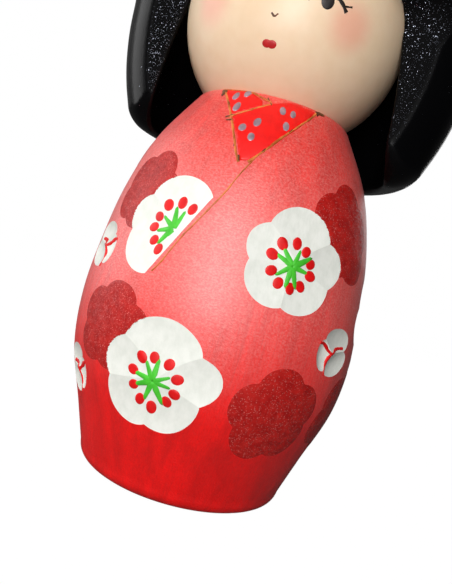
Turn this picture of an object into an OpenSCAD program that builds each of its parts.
// Turned wooden doll: barrel body, ball head on a neck dowel, and a hollow hair cap.
// Millimetres. +Z up, the face looks along -Y, the origin is the middle of the base.

/* [Body] */
// Height of the body from its base to its rim
body_h = 76.7; // [74:0.1:80]
// Diameter of the belly, the widest turn of the body
belly_d = 56.2; // [53:0.2:60]
// Diameter of the rim that the head sits in
rim_d = 29.8; // [27:0.2:31]
// Radius of the rounded edge round the base
base_round = 3; // [1:0.5:4]
// Width of the soft edge on the rim
rim_round = 1.2; // [0.6:0.1:1.6]

/* [Head] */
// Diameter of the head ball
head_d = 44.4; // [43:0.2:46]

/* [Hair] */
// Diameter of the hair cap where it is widest, level with the middle of the head
hair_d = 71.8; // [68:0.2:76]
// Height of the crown above the middle of the head
crown_rise = 31.4; // [29:0.2:35]
// How far the hair hangs below the middle of the head, beside the shoulders
hair_hang = 25.8; // [24:0.2:28]
// Diameter of the hollow where it opens round the shoulders
hair_bore_d = 49.4; // [48.4:0.2:50]
// Distance from the axis to the flat front cut beside the face
front_cut = 8; // [6:0.2:11]
// Height of the lower edge of the fringe above the middle of the head
fringe_rise = 7.6; // [5:0.2:10]
// Radius of the bend from the front cut into the underside of the fringe
fringe_bend_r = 8; // [4:0.5:10]
// Distance from the axis to the front of the fringe
fringe_reach = 30.5; // [28:0.5:34]

/* [Neck dowel] */
// Diameter of the dowel
dowel_d = 9; // [7:0.5:11]
// Length glued into the head
dowel_in_head = 12; // [9:0.5:15]
// Length standing in the body
dowel_in_body = 14; // [10:0.5:18]

/* [Fits] */
// Gap between the head ball and its seat in the body
seat_gap = 0.15; // [0.1:0.01:0.3]
// Radial clearance of the dowel in the body, so that the head turns
turning_gap = 0.05; // [0.02:0.01:0.1]
// Glue line between the head ball and the hair cap
glue_gap = 0.1; // [0.05:0.01:0.2]

/* [Hidden] */
$fn = 96;
belly_r = belly_d / 2;
rim_r = rim_d / 2;
head_r = head_d / 2;
hair_r = hair_d / 2;
hair_bore_r = hair_bore_d / 2;
seat_r = head_r + seat_gap;
cap_r = head_r + glue_gap;
dowel_r = dowel_d / 2;
// The head's ball rests in the rim, which sets the height of its middle and of the seat's lowest point
head_z = body_h + sqrt(pow(seat_r, 2) - pow(rim_r, 2));
seat_z = head_z - seat_r;
hair_bottom_z = head_z - hair_hang;
fringe_z = head_z + fringe_rise;
// Room left past the ends of the dowel
end_room = 1;
// Turns of the body as shares of the belly's radius and the body's height, base to shoulder
body_turns = [[0.717, 0], [0.842, 0.142], [0.968, 0.285], [1, 0.427], [0.965, 0.57],
              [0.898, 0.712], [0.768, 0.854]];
// Turns of the hair cap beside the face, as shares of its radius and of its height below the wide turn
hair_turns = [[0.88, 0.16], [0.925, 0.33], [0.962, 0.52], [0.99, 0.76], [1, 1]];
// Points drawn between two turns, and steps in a quarter of an arc
fine = 5;
steps = 14;

// A point at share t along one span of a smooth curve through four turns
function between(a, b, c, d, t) =
    0.5 * (2 * b + (c - a) * t + (2 * a - 5 * b + 4 * c - d) * t * t
           + (3 * b - a - 3 * c + d) * t * t * t);
// A smooth curve through every turn in a list, with straight run-outs at both ends
function through(p) = let (n = len(p), q = concat([2 * p[0] - p[1]], p, [2 * p[n - 1] - p[n - 2]]))
    concat([for (i = [0 : n - 2], j = [0 : fine - 1])
            between(q[i], q[i + 1], q[i + 2], q[i + 3], j / fine)], [p[n - 1]]);
// A soft corner: from point a to point b, pulled towards the sharp corner c
function corner(a, c, b) = [for (i = [0 : steps / 2]) let (t = 2 * i / steps)
    (1 - t) * (1 - t) * a + 2 * t * (1 - t) * c + t * t * b];
// An arc of an ellipse about [0, z], from angle a0 to angle a1
function arc(z, rx, rz, a0, a1) = [for (i = [0 : steps]) let (a = a0 + (a1 - a0) * i / steps)
    [rx * cos(a), z + rz * sin(a)]];

// The body's outside from the base to just under the rim
body_side = through(concat([for (t = body_turns) [t[0] * belly_r, t[1] * body_h]], [[rim_r, body_h]]));
// Angle on the seat's ball at which the soft rim ends
rim_angle = -acos((rim_r - rim_round) / seat_r);

module body_outline() {
    side = [for (p = body_side) if (p[1] > base_round && p[1] < body_h - rim_round) p];
    foot = corner([body_side[0][0] - base_round, 0], body_side[0] + [base_round / 4, 0], side[0]);
    rim = corner(side[len(side) - 1], [rim_r, body_h],
                 [seat_r * cos(rim_angle), head_z + seat_r * sin(rim_angle)]);
    seat = arc(head_z, seat_r, seat_r, rim_angle, -90);
    polygon(concat([[0, 0]], foot, [for (i = [1 : len(side) - 2]) side[i]], rim,
                   [for (i = [1 : steps - 1]) seat[i]], [[0, seat_z]]));
}

module body() {
    color([0.96, 0.30, 0.27]) difference() {
        rotate_extrude() body_outline();
        // Blind socket for the neck dowel
        translate([0, 0, seat_z - dowel_in_body - end_room])
            cylinder(r = dowel_r + turning_gap, h = dowel_in_body + end_room + head_r);
    }
}

module neck_dowel() {
    color([0.87, 0.74, 0.55])
        translate([0, 0, head_z - head_r - dowel_in_body])
            cylinder(r = dowel_r, h = dowel_in_body + dowel_in_head);
}

module head() {
    color([0.90, 0.76, 0.62]) difference() {
        translate([0, 0, head_z]) sphere(r = head_r);
        // Blind hole that the dowel is glued into
        translate([0, 0, head_z - head_r - 1])
            cylinder(r = dowel_r, h = 1 + dowel_in_head + end_room / 2);
    }
}

module hair_outline() {
    edge = 1.5;
    side = through([for (t = hair_turns) [t[0] * hair_r, hair_bottom_z + t[1] * hair_hang]]);
    foot = corner([hair_bore_r + 3 * edge, hair_bottom_z], [side[0][0] - edge, hair_bottom_z], side[0]);
    lip = corner([hair_bore_r, hair_bottom_z + edge], [hair_bore_r, hair_bottom_z],
                 [hair_bore_r + edge, hair_bottom_z]);
    crown = arc(head_z, hair_r, crown_rise, 0, 90);
    hollow = arc(head_z, cap_r, cap_r, 90, 0);
    throat = corner([cap_r, head_z], [hair_bore_r - edge / 4, head_z - hair_hang / 4], lip[0]);
    polygon(concat(lip, foot, [for (i = [1 : len(side) - 2]) side[i]], crown, hollow,
                   [for (i = [1 : len(throat) - 2]) throat[i]]));
}

// Side view of what the front cut leaves, with y to the front: flat beside the face, then bending out
// under the fringe, whose front bulges less than the round of the cap
module front_cut_outline() {
    back = hair_r + 5;
    low = hair_bottom_z - 5;
    bend = [for (i = [0 : steps]) let (a = 90 * i / steps)
            [front_cut + fringe_bend_r * (1 - cos(a)), fringe_z - fringe_bend_r * (1 - sin(a))]];
    bulge = [for (p = arc(head_z, fringe_reach, crown_rise, 0, 90)) if (p[1] > fringe_z) p];
    polygon(concat([[-back, low], [front_cut, low]], bend,
                   [[fringe_reach * sqrt(1 - pow(fringe_rise / crown_rise, 2)), fringe_z]], bulge,
                   [[-back, head_z + crown_rise]]));
}

module hair() {
    color([0.07, 0.07, 0.08]) intersection() {
        rotate_extrude() hair_outline();
        rotate([90, 0, -90]) linear_extrude(height = 2 * hair_r + 10, center = true) front_cut_outline();
    }
}

body();
neck_dowel();
head();
hair();
